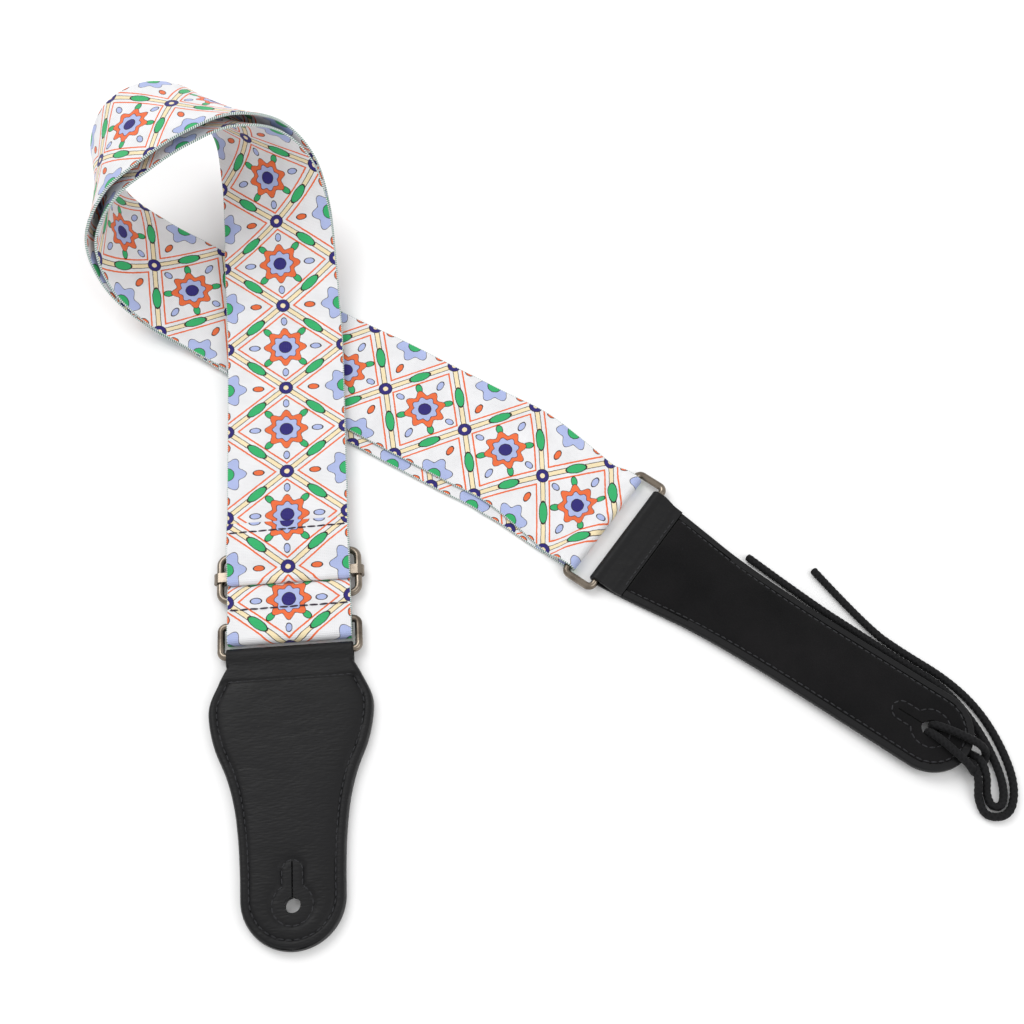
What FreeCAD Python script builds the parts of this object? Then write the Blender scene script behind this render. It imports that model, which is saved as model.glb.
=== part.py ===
import FreeCAD, Part
import math
import os
from FreeCAD import Rotation, Vector

# Guitar strap: one printed webbing band doubled over its length, a tri-glide, two wire
# rings, two leather tabs and a bootlace hitched through the rear tab.
# Millimetres. The origin is on the axis of the front tab's button hole, on the table.
# +Y runs up the front tab towards its ring, +Z is up. The strap lies on z = 0.

# ---- driving dimensions ----
web_width = 50.0
web_thick = 1.4
layer_gap = 0.1            # between the two layers where they lie together
loop_opening = 4.5         # most that the layers part in the shoulder loop
rear_shift = 4.5           # the under layer lies this far to one side along the rear leg

wire = 3.0                 # wire of the rings and of the tri-glide
bar_spacing = 12.8         # from one bar of a ring to the other, centre to centre
ring_half_width = 27.5     # to the centre of a ring's side wire
ring_corner = 2.2
wrap_clearance = 0.1       # webbing or leather to the wire that it goes round
web_bar_z = 3.1            # bar inside the webbing loop
leather_bar_z = 3.1        # bar inside a tab's fold

fold_y = 101.9             # front edge of the front tab's fold
leather = 1.4
front_thick = 5.6
rim_width = 4.7            # solid rim round the foam
hole_radius = 3.0
rear_hole_radius = 3.5
slit_width = 0.8
slit_length = 13.0

glide_half_width = 28.0
glide_corner = 3.5
glide_low_y = 123.0
glide_high_y = 142.0
glide_mid_y = 132.5
glide_wire_z = 2.9
glide_bar_width = 4.0
glide_bar_thick = 1.0
curl_clearance = 0.1

rear_fold = Vector(137.4, 140.6, 0)    # middle of the rear tab's fold edge
rear_heading = -40.0                   # degrees from +X, from the ring to the tab's tip
rear_tilt = 1.45                       # the tip rests on the cord below it
rear_hole_u = 143.7                    # fold edge to the hole
rear_tip_radius = 17.0

thread_width = 0.6
thread_height = 0.25
seam_inset = 3.5
cross_seam_from_fold = 14.5
cord_diameter = 3.2

half_wire = wire / 2
wrap_radius = half_wire + wrap_clearance + leather / 2     # mid-thickness of a wrap
bar_two_y = fold_y - wrap_radius - leather / 2
bar_one_y = bar_two_y + bar_spacing
seam_y = fold_y - cross_seam_from_fold


# ---- helpers ----
def smooth(points, steps):
    """Points on a curve through every given point, whatever numbers a point holds."""
    result = []
    last = len(points) - 1
    for i in range(last):
        before = points[max(i - 1, 0)]
        start, end = points[i], points[i + 1]
        after = points[min(i + 2, last)]
        for k in range(steps):
            t = k / steps
            result.append(tuple(
                0.5 * (2 * b + (c - a) * t + (2 * a - 5 * b + 4 * c - d) * t * t
                       + (3 * b - a - 3 * c + d) * t ** 3)
                for a, b, c, d in zip(before, start, end, after)))
    result.append(tuple(points[last]))
    return result


def with_normals(centres, sides):
    """Frames of a band: centre, unit side direction, unit normal."""
    frames = []
    for i, centre in enumerate(centres):
        along = centres[min(i + 1, len(centres) - 1)] - centres[max(i - 1, 0)]
        normal = along.cross(sides[i])
        normal.normalize()
        frames.append((centre, sides[i], normal))
    return frames


def band(frames, width, thick):
    """A flexible strip as one solid with a rectangular section at each frame."""
    sections = []
    for centre, side, normal in frames:
        corners = [centre + side * (a * width / 2) + normal * (b * thick / 2)
                   for a, b in ((1, 1), (1, -1), (-1, -1), (-1, 1))]
        sections.append(Part.makePolygon(corners + corners[:1]))
    return Part.makeLoft(sections, True, True)


def turn(centre_y, centre_z, radius, first, last, steps=10):
    """(y, z) points on an arc, angles in degrees from +Y."""
    points = []
    for k in range(steps + 1):
        angle = math.radians(first + (last - first) * k / steps)
        points.append((centre_y + radius * math.cos(angle), centre_z + radius * math.sin(angle)))
    return points


def straight_band(profile, width, thick):
    """A strip that keeps one (y, z) profile across its width."""
    centres = [Vector(0, y, z) for y, z in profile]
    return band(with_normals(centres, [Vector(-1, 0, 0)] * len(centres)), width, thick)


def wire_loop(half_x, low_y, high_y, z, corner):
    """A closed rectangular loop of round wire with rounded corners."""
    edges = []
    corners = [(half_x, high_y), (-half_x, high_y), (-half_x, low_y), (half_x, low_y)]
    middle = Vector(half_x, (low_y + high_y) / 2, z)
    at = middle
    for i, (x, y) in enumerate(corners):
        next_x, next_y = corners[(i + 1) % 4]
        here, there = Vector(x, y, z), Vector(next_x, next_y, z)
        inward = at - here
        inward.normalize()
        outward = there - here
        outward.normalize()
        arc_start, arc_end = here + inward * corner, here + outward * corner
        arc_centre = here + (inward + outward) * corner
        to_corner = here - arc_centre
        to_corner.normalize()
        edges.append(Part.LineSegment(at, arc_start).toShape())
        edges.append(Part.Arc(arc_start, arc_centre + to_corner * corner, arc_end).toShape())
        at = arc_end
    edges.append(Part.LineSegment(at, middle).toShape())
    circle = Part.Wire(Part.makeCircle(half_wire, middle, Vector(0, 1, 0)))
    return Part.Wire(edges).makePipeShell([circle], True, False)


def tab_face(side_points, tip_centre, tip_radius, inset):
    """A tab's outline, symmetric about the Y axis, moved inwards by inset."""
    right = []
    for i, (y, half) in enumerate(side_points):
        y_before, half_before = side_points[max(i - 1, 0)]
        y_after, half_after = side_points[min(i + 1, len(side_points) - 1)]
        run_y, run_x = y_after - y_before, half_after - half_before
        length = math.hypot(run_x, run_y)
        right.append(Vector(half + inset * run_y / length, y - inset * run_x / length, 0))
    right[-1] = Vector(tip_radius - inset, tip_centre, 0)
    left = [Vector(-p.x, p.y, 0) for p in reversed(right)]
    right_side, left_side = Part.BSplineCurve(), Part.BSplineCurve()
    right_side.interpolate(right)
    left_side.interpolate(left)
    tip = Part.Arc(right[-1], Vector(0, tip_centre - tip_radius + inset, 0), left[0])
    neck = Part.LineSegment(left[-1], right[0])
    edges = [right_side.toShape(), tip.toShape(), left_side.toShape(), neck.toShape()]
    return Part.Face(Part.Wire(edges))


def slab(face, low, high):
    moved = face.copy()
    moved.translate(Vector(0, 0, low))
    return moved.extrude(Vector(0, 0, high - low))


def keyhole_face(grow):
    """The sewn keyhole round a button hole, with its narrow end towards +Y."""
    round_part = Part.makeCylinder(7.2 + grow, 1)
    neck_half, neck_end = 3.7 + grow, 12.5
    neck = Part.makeBox(2 * neck_half, neck_end, 1, Vector(-neck_half, 0, 0))
    end = Part.makeCylinder(neck_half, 1, Vector(0, neck_end, 0))
    solid = round_part.fuse([neck, end]).removeSplitter()
    return [f for f in solid.Faces if abs(f.CenterOfMass.z) < 1e-6][0]


def button_hole(radius, height):
    """The tool that cuts a button hole and its slit."""
    hole = Part.makeCylinder(radius, height, Vector(0, 0, -1))
    slit = Part.makeBox(slit_width, radius + slit_length, height, Vector(-slit_width / 2, 0, -1))
    return hole.fuse(slit)


def seam(outer, inner, z):
    """A thread along an outline, lying on a surface at height z."""
    return slab(outer.cut(inner), z, z + thread_height)


def rear_point(u, v, z):
    """From the rear tab's own directions to the strap's: along, to the left, up."""
    angle = math.radians(rear_heading)
    along = Vector(math.cos(angle), math.sin(angle), 0)
    left = Vector(-math.sin(angle), math.cos(angle), 0)
    return rear_fold + along * u + left * v + Vector(0, 0, z)


def to_rear(shape, tilt=0.0):
    """Moves a shape made with its fold at y = 0 and its tip towards -Y to the rear end."""
    moved = shape.copy()
    pivot = Vector(0, -wrap_radius - leather / 2, leather_bar_z)
    moved.rotate(pivot, Vector(1, 0, 0), -tilt)
    moved.rotate(Vector(0, 0, 0), Vector(0, 0, 1), rear_heading + 90)
    moved.translate(rear_fold)
    return moved


def cord(points, diameter, name):
    """A round cord on straight runs joined by the largest tangent arcs that fit."""
    edges = []
    at = points[0]
    radii = []
    for i in range(1, len(points) - 1):
        corner = points[i]
        back, ahead = points[i - 1] - corner, points[i + 1] - corner
        shorter = min(back.Length, ahead.Length)
        back.normalize()
        ahead.normalize()
        half_turn = (math.pi - back.getAngle(ahead)) / 2
        reach = 0.45 * shorter
        radii.append(reach / math.tan(half_turn))
        arc_start, arc_end = corner + back * reach, corner + ahead * reach
        towards = back + ahead
        towards.normalize()
        depth = radii[-1] / math.cos(half_turn) - radii[-1]
        edges.append(Part.LineSegment(at, arc_start).toShape())
        edges.append(Part.Arc(arc_start, corner + towards * depth, arc_end).toShape())
        at = arc_end
    edges.append(Part.LineSegment(at, points[-1]).toShape())
    path = Part.Wire(edges)
    circle = Part.Wire(Part.makeCircle(diameter / 2, points[0], points[1] - points[0]))
    tube = path.makePipeShell([circle], True, False)
    ideal = math.pi * diameter ** 2 / 4 * path.Length
    print(name, "length %.1f" % path.Length, "volume ratio %.4f" % (tube.Volume / ideal),
          "radii", " ".join("%.1f" % r for r in radii))
    return tube


# ---- webbing: the two runs that share the strap's path ----
# Left and right edge of the strap's middle surface, from the tri-glide up the front leg,
# round the shoulder loop, under the front leg and down the rear leg.
strap_stations = [
    (-25, 150, 6, 25, 150, 6), (-25, 174, 6, 25, 174, 6), (-25, 198, 6.3, 25, 198, 6),
    (-25, 220, 7, 25, 220, 6), (-25, 241, 8, 25, 241, 7), (-25, 261, 9.5, 24, 260, 11),
    (-25, 281, 11.5, 23, 280, 17), (-25, 301, 13, 22, 299, 26), (-25, 322, 17, 17, 314, 40),
    (-27, 341, 26, 5, 319, 57), (-36, 350, 42, -13, 314, 68), (-53, 347, 53, -32, 305, 69),
    (-70, 338, 51, -49, 295, 66), (-78, 327, 35, -66, 285, 59), (-70, 317, 18, -77, 274, 43),
    (-53, 307, 9, -74, 264, 23), (-34, 296, 6, -61, 254, 9), (-17, 285, 4, -44, 244, 4),
    (0, 274, 2.4, -28, 233, 2.4), (16, 264, 1.6, -11, 222, 1.6),
    (33, 252.5, 1.5, 6, 211, 1.5), (54, 239.5, 1.5, 26, 198, 1.5),
    (74, 225.7, 1.5, 46, 184.3, 1.5), (94, 212, 1.5, 65, 171.4, 1.5),
    (113.5, 198.5, 1.5, 83.5, 158.5, 1.5),
]
bight_start_u = -22.0
butt_gap = 0.1              # where one stretch of the webbing carries on as the next
run_end_u = bight_start_u - butt_gap
last_left, last_right = rear_point(run_end_u, 25, 1.5), rear_point(run_end_u, -25, 1.5)
strap_stations.append(tuple(last_left) + tuple(last_right))
steps_between = 3
strap = smooth(strap_stations, steps_between)
loop_first, loop_last = 5 * steps_between, 18 * steps_between
shift_first, shift_full = 17 * steps_between, 21 * steps_between

centres, sides = [], []
for row in strap:
    left, right = Vector(*row[:3]), Vector(*row[3:])
    centres.append((left + right) * 0.5)
    side = left - right
    side.normalize()
    sides.append(side)
middle_frames = with_normals(centres, sides)

under_frames, over_frames = [], []
for i, (centre, side, normal) in enumerate(middle_frames):
    part_way = min(max((i - loop_first) / (loop_last - loop_first), 0), 1)
    opening = loop_opening * math.sin(math.pi * part_way) ** 2
    offset = (web_thick + layer_gap + opening) / 2
    rise = min(max((i - shift_first) / (shift_full - shift_first), 0), 1)
    fall = min((len(strap) - 1 - i) / steps_between, 1)
    shift = rear_shift * rise * fall
    under_frames.append((centre - normal * offset - side * shift, side, normal))
    over_frames.append((centre + normal * offset, side, normal))
shapes = {
    "under_run": band(under_frames, web_width, web_thick),
    "over_run": band(over_frames, web_width, web_thick),
}

# Rear bight: in its own directions y is along the strap away from the tab.
half_layer = (web_thick + layer_gap) / 2
low_z = 1.5 - half_layer
rear_bar_y = bar_spacing - wrap_radius - leather / 2
bight = [(-bight_start_u, low_z), (rear_bar_y + 4, low_z)]
bight += turn(rear_bar_y, web_bar_z, web_bar_z - low_z, 270, 90)
bight += smooth([(rear_bar_y + 1.5, 2 * web_bar_z - low_z), (rear_bar_y + 4.5, 5.0),
                 (rear_bar_y + 7.5, 3.2), (rear_bar_y + 10, 1.5 + half_layer),
                 (-bight_start_u, 1.5 + half_layer)], 3)
shapes["rear_bight"] = to_rear(straight_band(bight, web_width, web_thick))

# ---- webbing at the front ring and through the tri-glide ----
tail_end_y = 118.5
loop_turn_y = fold_y + 1.5 + web_thick / 2 + (web_bar_z - 0.75)
end_loop = smooth([(tail_end_y, 3.5), (117, 3.0), (115.4, 1.7), (113.6, 0.85), (111, 0.75)], 3)
end_loop += turn(loop_turn_y, web_bar_z, web_bar_z - 0.75, 270, 90)
end_loop += smooth([(loop_turn_y + 2, 5.45), (bar_one_y - 1, 5.5), (bar_one_y + 1.3, 5.45),
                    (115.4, 5.25), (117, 5.1), (tail_end_y, 5.05)], 3)
shapes["front_end_loop"] = straight_band(end_loop, web_width, web_thick)

run_start_y = 149.9
weave = smooth([(tail_end_y + butt_gap, 5.05), (120.5, 5.12), (glide_low_y, 5.3), (125.6, 5.0),
                (127.2, 4.3), (128.4, 3.3), (129.6, 2.45), (131, 2.2), (glide_mid_y, 2.15),
                (134.5, 2.0), (136.2, 2.2), (139, 4.1), (glide_high_y, 5.3),
                (145.5, 5.3), (148, 5.25), (run_start_y, 5.25)], 3)
shapes["glide_weave"] = straight_band(weave, web_width, web_thick)

flap_end_y, flap_seam_y = 154.5, 150.8
glide_bar_z = glide_wire_z + half_wire + curl_clearance + glide_bar_thick / 2
glide_turn = glide_bar_thick / 2 + wrap_clearance + web_thick / 2
glide_turn_y = glide_mid_y - glide_bar_width / 2 + 0.2
glide_loop = smooth([(run_start_y, 6.75), (148, 6.75), (145.5, 6.85), (glide_high_y, 6.8),
                     (138.5, 5.8), (136.2, 4.4), (134.2, glide_bar_z - glide_turn),
                     (glide_turn_y, glide_bar_z - glide_turn)], 3)[:-1]
glide_loop += turn(glide_turn_y, glide_bar_z, glide_turn, 270, 90)
glide_loop += smooth([(glide_turn_y + 1.5, glide_bar_z + glide_turn), (134.5, 6.4), (138, 7.4),
                      (glide_high_y, 8.5), (146, 8.6), (flap_seam_y, 8.4), (flap_end_y, 8.35)], 3)
shapes["glide_loop"] = straight_band(glide_loop, web_width, web_thick)

web_thread_half = 24.0
shapes["end_loop_seam"] = Part.makeBox(2 * web_thread_half, thread_width, thread_height,
                                       Vector(-web_thread_half, 117.4, 5.82))
shapes["glide_seam"] = Part.makeBox(2 * web_thread_half, thread_width, thread_height,
                                    Vector(-web_thread_half, flap_seam_y, 9.25))

# ---- rings ----
shapes["front_ring"] = wire_loop(ring_half_width, bar_two_y, bar_one_y, web_bar_z, ring_corner)
rear_ring = wire_loop(ring_half_width, -wrap_radius - leather / 2,
                      -wrap_radius - leather / 2 + bar_spacing, web_bar_z, ring_corner)
shapes["rear_ring"] = to_rear(rear_ring)

# ---- tri-glide ----
shapes["glide_frame"] = wire_loop(glide_half_width, glide_low_y, glide_high_y, glide_wire_z,
                                   glide_corner)
curl_inner = half_wire + curl_clearance
curl_outer = curl_inner + glide_bar_thick
bar_low_y = glide_mid_y - glide_bar_width / 2
flat = Part.makeBox(2 * glide_half_width, glide_bar_width, glide_bar_thick,
                    Vector(-glide_half_width, bar_low_y, glide_bar_z - glide_bar_thick / 2))
glide_bar = flat
for x in (-glide_half_width, glide_half_width):
    curl = Part.makeCylinder(curl_outer, glide_bar_width, Vector(x, bar_low_y, glide_wire_z),
                             Vector(0, 1, 0))
    bore = Part.makeCylinder(curl_inner, glide_bar_width, Vector(x, bar_low_y, glide_wire_z),
                             Vector(0, 1, 0))
    glide_bar = glide_bar.fuse(curl).cut(bore)
shapes["glide_bar"] = glide_bar.removeSplitter()

# ---- front tab ----
neck_half = 25.2
front_side = [(94, neck_half), (88, 28.3), (79.5, 31.9), (72, 32.1), (61.5, 29.8), (50, 25.2),
              (38.5, 22.2), (26, 20.6), (14, 19.9), (3.4, 19.7)]
front_tip = (3.4, 19.7)
front_hole = button_hole(hole_radius, front_thick + 2)
backing_top = leather
foam_top = front_thick - leather
backing_end_y = 83.5
beyond_tail = Part.makeBox(100, 40, 20, Vector(-50, backing_end_y, -1))

outline = tab_face(front_side, *front_tip, 0)
pocket = slab(tab_face(front_side, *front_tip, rim_width), backing_top, foam_top)
pocket = pocket.cut(beyond_tail)
wrap = [(92, foam_top + leather / 2), (95, foam_top + leather / 2 + 0.2)]
wrap += turn(bar_two_y, leather_bar_z, wrap_radius, 90, -90)
wrap += [(bar_two_y - 5, leather / 2 + 0.06), (backing_end_y + 0.1, leather / 2 + 0.06)]
fold = straight_band(wrap, 2 * neck_half, leather)
cover = slab(outline, backing_top, front_thick).cut(pocket).fuse(fold)
shapes["front_cover"] = cover.cut(front_hole).removeSplitter()
shapes["front_foam"] = pocket.cut(front_hole)
backing = slab(outline, 0, backing_top).cut(beyond_tail)
shapes["front_backing"] = backing.cut(front_hole)

beyond_seam = Part.makeBox(100, 40, 20, Vector(-50, seam_y, -1))
edge_seam = seam(tab_face(front_side, *front_tip, seam_inset),
                 tab_face(front_side, *front_tip, seam_inset + thread_width), front_thick)
shapes["front_edge_seam"] = edge_seam.cut(beyond_seam)
cross_half = 24.5
shapes["front_cross_seam"] = Part.makeBox(2 * cross_half, thread_width, thread_height,
                                          Vector(-cross_half, seam_y + 0.1, front_thick))
shapes["front_keyhole_seam"] = seam(keyhole_face(thread_width), keyhole_face(0), front_thick)

# ---- rear tab, made with its fold at y = 0 and its tip towards -Y ----
rear_neck_half = 23.8
rear_side = [(-6, rear_neck_half), (-16, 22.8), (-28, 21.2), (-43, 19.2), (-60, 17.9),
             (-80, 17.2), (-100, 17.0), (-122, 17.0), (-rear_hole_u, rear_tip_radius)]
rear_tip = (-rear_hole_u, rear_tip_radius)
stiffener_thick = 0.6
rear_top = 2.9
lining_start = 15.2
rear_hole = button_hole(rear_hole_radius, 10)
rear_hole.translate(Vector(0, -rear_hole_u, -2))
before_lining = Part.makeBox(100, 40, 20, Vector(-50, -lining_start, -1))

rear_outline = tab_face(rear_side, *rear_tip, 0)
rear_pocket = slab(tab_face(rear_side, *rear_tip, rim_width), leather, leather + stiffener_thick)
rear_pocket = rear_pocket.cut(before_lining)
bar_y = -wrap_radius - leather / 2
rear_wrap = [(-8, leather / 2), (bar_y - 1, leather / 2)]
rear_wrap += turn(bar_y, leather_bar_z, wrap_radius, -90, 90)
rear_wrap += smooth([(bar_y - 2, 5.3), (bar_y - 5, 3.8), (-11, 2.35), (-lining_start + 0.2, 2.2)], 3)
rear_fold_band = straight_band([(y, z) for y, z in rear_wrap], 2 * rear_neck_half, leather)
base = slab(rear_outline, 0, leather).fuse(rear_fold_band)
shapes["rear_base"] = to_rear(base.cut(rear_hole).removeSplitter(), rear_tilt)
shapes["rear_stiffener"] = to_rear(rear_pocket.cut(rear_hole), rear_tilt)
lining = slab(rear_outline, leather, rear_top).cut(rear_pocket).cut(before_lining)
shapes["rear_lining"] = to_rear(lining.cut(rear_hole), rear_tilt)

before_seam = Part.makeBox(100, 40, 20, Vector(-50, -lining_start - 1.5, -1))
rear_edge_seam = seam(tab_face(rear_side, *rear_tip, seam_inset),
                      tab_face(rear_side, *rear_tip, seam_inset + thread_width), rear_top)
shapes["rear_edge_seam"] = to_rear(rear_edge_seam.cut(before_seam), rear_tilt)
rear_cross_half = 18.5
rear_cross = Part.makeBox(2 * rear_cross_half, thread_width, thread_height,
                          Vector(-rear_cross_half, -lining_start - 1.4, rear_top))
shapes["rear_cross_seam"] = to_rear(rear_cross, rear_tilt)
rear_keyhole = seam(keyhole_face(thread_width), keyhole_face(0), rear_top)
rear_keyhole.translate(Vector(0, -rear_hole_u, 0))
shapes["rear_keyhole_seam"] = to_rear(rear_keyhole, rear_tilt)

# ---- bootlace: both halves start where they meet, at the middle of the hitch ----
floor_z = cord_diameter / 2 + 0.05
hole_v = cord_diameter / 2 + 0.08
on_top_z = 8.8
rim_top_z = 9.3
hitch_u = 167.3
over_hitch_z = 5.7
long_half = [
    rear_point(hitch_u, 0, floor_z), rear_point(hitch_u, 4.9, floor_z),
    rear_point(162.3, 4.9, rim_top_z), rear_point(rear_hole_u, hole_v, on_top_z),
    rear_point(rear_hole_u, hole_v, floor_z), rear_point(161.4, hole_v, floor_z),
    rear_point(165.3, 0.8, over_hitch_z), rear_point(170.6, -4.0, over_hitch_z),
    Vector(265.0, 22.5, floor_z), Vector(266.0, 17.0, floor_z), Vector(270.5, 17.0, floor_z),
    Vector(272.5, 25.0, floor_z), Vector(270.8, 37.0, floor_z), Vector(266.0, 51.0, floor_z),
    rear_point(140.0, 19.6, floor_z), rear_point(122.0, 19.3, floor_z),
    rear_point(100.0, 19.6, floor_z), rear_point(78.0, 19.8, floor_z),
    rear_point(47.0, 22.2, floor_z),
]
short_half = [
    rear_point(hitch_u, 0, floor_z), rear_point(hitch_u, -4.9, floor_z),
    rear_point(162.3, -4.9, rim_top_z), rear_point(rear_hole_u, -hole_v, on_top_z),
    rear_point(rear_hole_u, -hole_v, floor_z), rear_point(161.4, -hole_v, floor_z),
    rear_point(164.6, -2.6, over_hitch_z), rear_point(169.0, -7.6, over_hitch_z),
    Vector(261.4, 21.0, floor_z), Vector(263.0, 13.2, floor_z), Vector(272.6, 13.2, floor_z),
    Vector(277.0, 24.5, floor_z), Vector(275.0, 40.0, floor_z), Vector(269.0, 56.0, floor_z),
    rear_point(139.0, 23.2, floor_z), rear_point(120.0, 22.8, floor_z),
    rear_point(103.0, 23.6, floor_z), rear_point(72.0, 33.0, floor_z),
]
shapes["cord_long_tail"] = cord(long_half, cord_diameter, "long tail")
shapes["cord_short_tail"] = cord(short_half, cord_diameter, "short tail")

os.makedirs("parts", exist_ok=True)
whole = FreeCAD.BoundBox()
for name, shape in shapes.items():
    solid = shape if shape.ShapeType == "Solid" else shape.Solids[0]
    print("%-20s solids %d valid %s volume %.1f" % (name, len(shape.Solids), solid.isValid(),
                                                   solid.Volume))
    solid.exportStep("parts/" + name + ".step")
    whole.add(solid.BoundBox)
print("box", [round(v, 1) for v in (whole.XMin, whole.YMin, whole.ZMin,
                                    whole.XMax, whole.YMax, whole.ZMax)])
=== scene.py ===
import math

import bpy
import numpy as np
from mathutils import Matrix, Vector


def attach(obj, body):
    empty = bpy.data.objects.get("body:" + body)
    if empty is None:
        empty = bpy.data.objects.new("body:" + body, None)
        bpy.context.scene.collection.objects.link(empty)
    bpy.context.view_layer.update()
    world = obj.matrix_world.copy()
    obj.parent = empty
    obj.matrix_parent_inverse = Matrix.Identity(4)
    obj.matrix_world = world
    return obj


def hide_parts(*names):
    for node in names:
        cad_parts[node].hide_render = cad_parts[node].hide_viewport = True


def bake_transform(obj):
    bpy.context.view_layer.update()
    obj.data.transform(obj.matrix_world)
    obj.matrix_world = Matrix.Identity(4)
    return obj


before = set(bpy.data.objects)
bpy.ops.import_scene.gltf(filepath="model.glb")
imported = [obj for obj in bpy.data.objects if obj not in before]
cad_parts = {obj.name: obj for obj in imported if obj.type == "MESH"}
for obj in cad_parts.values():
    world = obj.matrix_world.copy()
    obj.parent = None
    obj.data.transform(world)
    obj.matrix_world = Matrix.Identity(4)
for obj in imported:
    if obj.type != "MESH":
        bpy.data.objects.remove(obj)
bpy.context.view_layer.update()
mm = 0.001


def smoothCurve(points, steps):
    # runs through every point, whatever numbers a point holds
    points = np.array(points, float)
    padded = np.vstack([points[:1], points, points[-1:]])
    result = []
    for i in range(len(points) - 1):
        a, b, c, d = padded[i:i + 4]
        for t in np.arange(steps) / steps:
            result.append(0.5 * (2 * b + (c - a) * t + (2 * a - 5 * b + 4 * c - d) * t ** 2
                                 + (3 * b - a - 3 * c + d) * t ** 3))
    result.append(points[-1])
    return np.array(result)


def arcPoints(centre, radius, first, last, steps):
    # (y, z) points, angles in degrees from +Y
    turn = np.radians(np.linspace(first, last, steps + 1))
    return [(centre[0] + radius * math.cos(a), centre[1] + radius * math.sin(a)) for a in turn]


def clearSelection():
    for thing in bpy.context.selected_objects:
        thing.select_set(False)


def meshPiece(name, verts, faces, smoothAngle=40):
    mesh = bpy.data.meshes.new(name)
    mesh.from_pydata([tuple(v) for v in verts], [], faces)
    piece = bpy.data.objects.new(name, mesh)
    bpy.context.collection.objects.link(piece)
    clearSelection()
    piece.select_set(True)
    bpy.context.view_layer.objects.active = piece
    bpy.ops.object.mode_set(mode="EDIT")
    bpy.ops.mesh.select_all(action="SELECT")
    bpy.ops.mesh.remove_doubles(threshold=1e-6)
    bpy.ops.mesh.normals_make_consistent(inside=False)
    bpy.ops.object.mode_set(mode="OBJECT")
    bpy.ops.object.shade_smooth_by_angle(angle=math.radians(smoothAngle))
    return piece


def paint(piece, material):
    piece.data.materials.clear()
    piece.data.materials.append(material)


# ---- rear end: its own directions are along the tab, to its left, and up ----
rearEnd = {"fold": (137.4, 140.6), "heading": -40.0, "tilt": 1.45, "hole": 143.7}


def rearPoint(along, left, up):
    turn = math.radians(rearEnd["heading"])
    x = rearEnd["fold"][0] + along * math.cos(turn) - left * math.sin(turn)
    y = rearEnd["fold"][1] + along * math.sin(turn) + left * math.cos(turn)
    return (x, y, up)


# ---- camera ----
cameraLook = {"eye": (73.7, -99.8, 549.0), "target": (92.9, 155.5, 0.0), "right": (0.9972, -0.075, 0),
              "lens": 50.8}


def makeCamera():
    eye, target = Vector(cameraLook["eye"]) * mm, Vector(cameraLook["target"]) * mm
    back = (eye - target).normalized()
    right = Vector(cameraLook["right"])
    right = (right - back * right.dot(back)).normalized()
    up = back.cross(right)
    camera = bpy.data.objects.new("camera", bpy.data.cameras.new("camera"))
    bpy.context.collection.objects.link(camera)
    camera.data.lens = cameraLook["lens"]
    camera.data.sensor_width = 36
    camera.data.clip_start = 0.01
    camera.rotation_mode = "QUATERNION"
    turned = [[right[i], up[i], back[i]] for i in range(3)]
    camera.rotation_quaternion = Matrix(turned).to_quaternion()
    camera.location = eye
    bpy.context.scene.camera = camera


makeCamera()
print("camera in place")

# ---- materials: small helpers first ----


def tint(red, green, blue):
    # screen colour, 0 to 255, to the renderer's linear colour
    channels = []
    for value in (red, green, blue):
        v = value / 255
        channels.append(v / 12.92 if v <= 0.04045 else ((v + 0.055) / 1.055) ** 2.4)
    return (*channels, 1)


def addNode(tree, kind, inputs=None, **settings):
    made = tree.nodes.new(kind)
    for name, value in settings.items():
        setattr(made, name, value)
    for key, value in (inputs or {}).items():
        if isinstance(value, bpy.types.NodeSocket):
            tree.links.new(value, made.inputs[key])
        else:
            made.inputs[key].default_value = value
    return made


def calc(tree, operation, *values):
    return addNode(tree, "ShaderNodeMath", dict(enumerate(values)), operation=operation).outputs[0]


def newMaterial(name, **shaderValues):
    material = bpy.data.materials.new(name)
    material.use_nodes = True
    tree = material.node_tree
    shader = tree.nodes["Principled BSDF"]
    for key, value in shaderValues.items():
        shader.inputs[key.replace("_", " ")].default_value = value
    return material, tree, shader


def layColour(tree, below, share, colour):
    mixed = addNode(tree, "ShaderNodeMix", data_type="RGBA")
    for socket, value in ((mixed.inputs[0], share), (mixed.inputs[6], below), (mixed.inputs[7], colour)):
        if isinstance(value, bpy.types.NodeSocket):
            tree.links.new(value, socket)
        else:
            socket.default_value = value
    return mixed.outputs[2]


def noise(tree, vector, scale, detail=3.0, rough=0.55):
    made = addNode(tree, "ShaderNodeTexNoise", {"Vector": vector, "Scale": scale, "Detail": detail,
                                                "Roughness": rough})
    return made.outputs["Fac"]


def ranged(tree, value, fromLow, fromHigh, toLow, toHigh):
    made = addNode(tree, "ShaderNodeMapRange", {0: value, 1: fromLow, 2: fromHigh, 3: toLow, 4: toHigh})
    return made.outputs[0]


def bump(tree, height, strength, distance, normal=None):
    inputs = {"Height": height, "Strength": strength, "Distance": distance}
    if normal:
        inputs["Normal"] = normal
    return addNode(tree, "ShaderNodeBump", inputs).outputs[0]


# ---- the printed webbing ----
printLook = {
    "width": 50.0, "repeat": 40.0,
    "ground": tint(236, 236, 238), "cream": tint(246, 228, 186), "ink": tint(44, 32, 35),
    "orange": tint(238, 112, 62), "navy": tint(44, 36, 118), "lilac": tint(176, 188, 230),
    "green": tint(52, 178, 108), "selvedge": tint(96, 140, 124),
    "line": 0.3,            # ink line, mm
}


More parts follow.
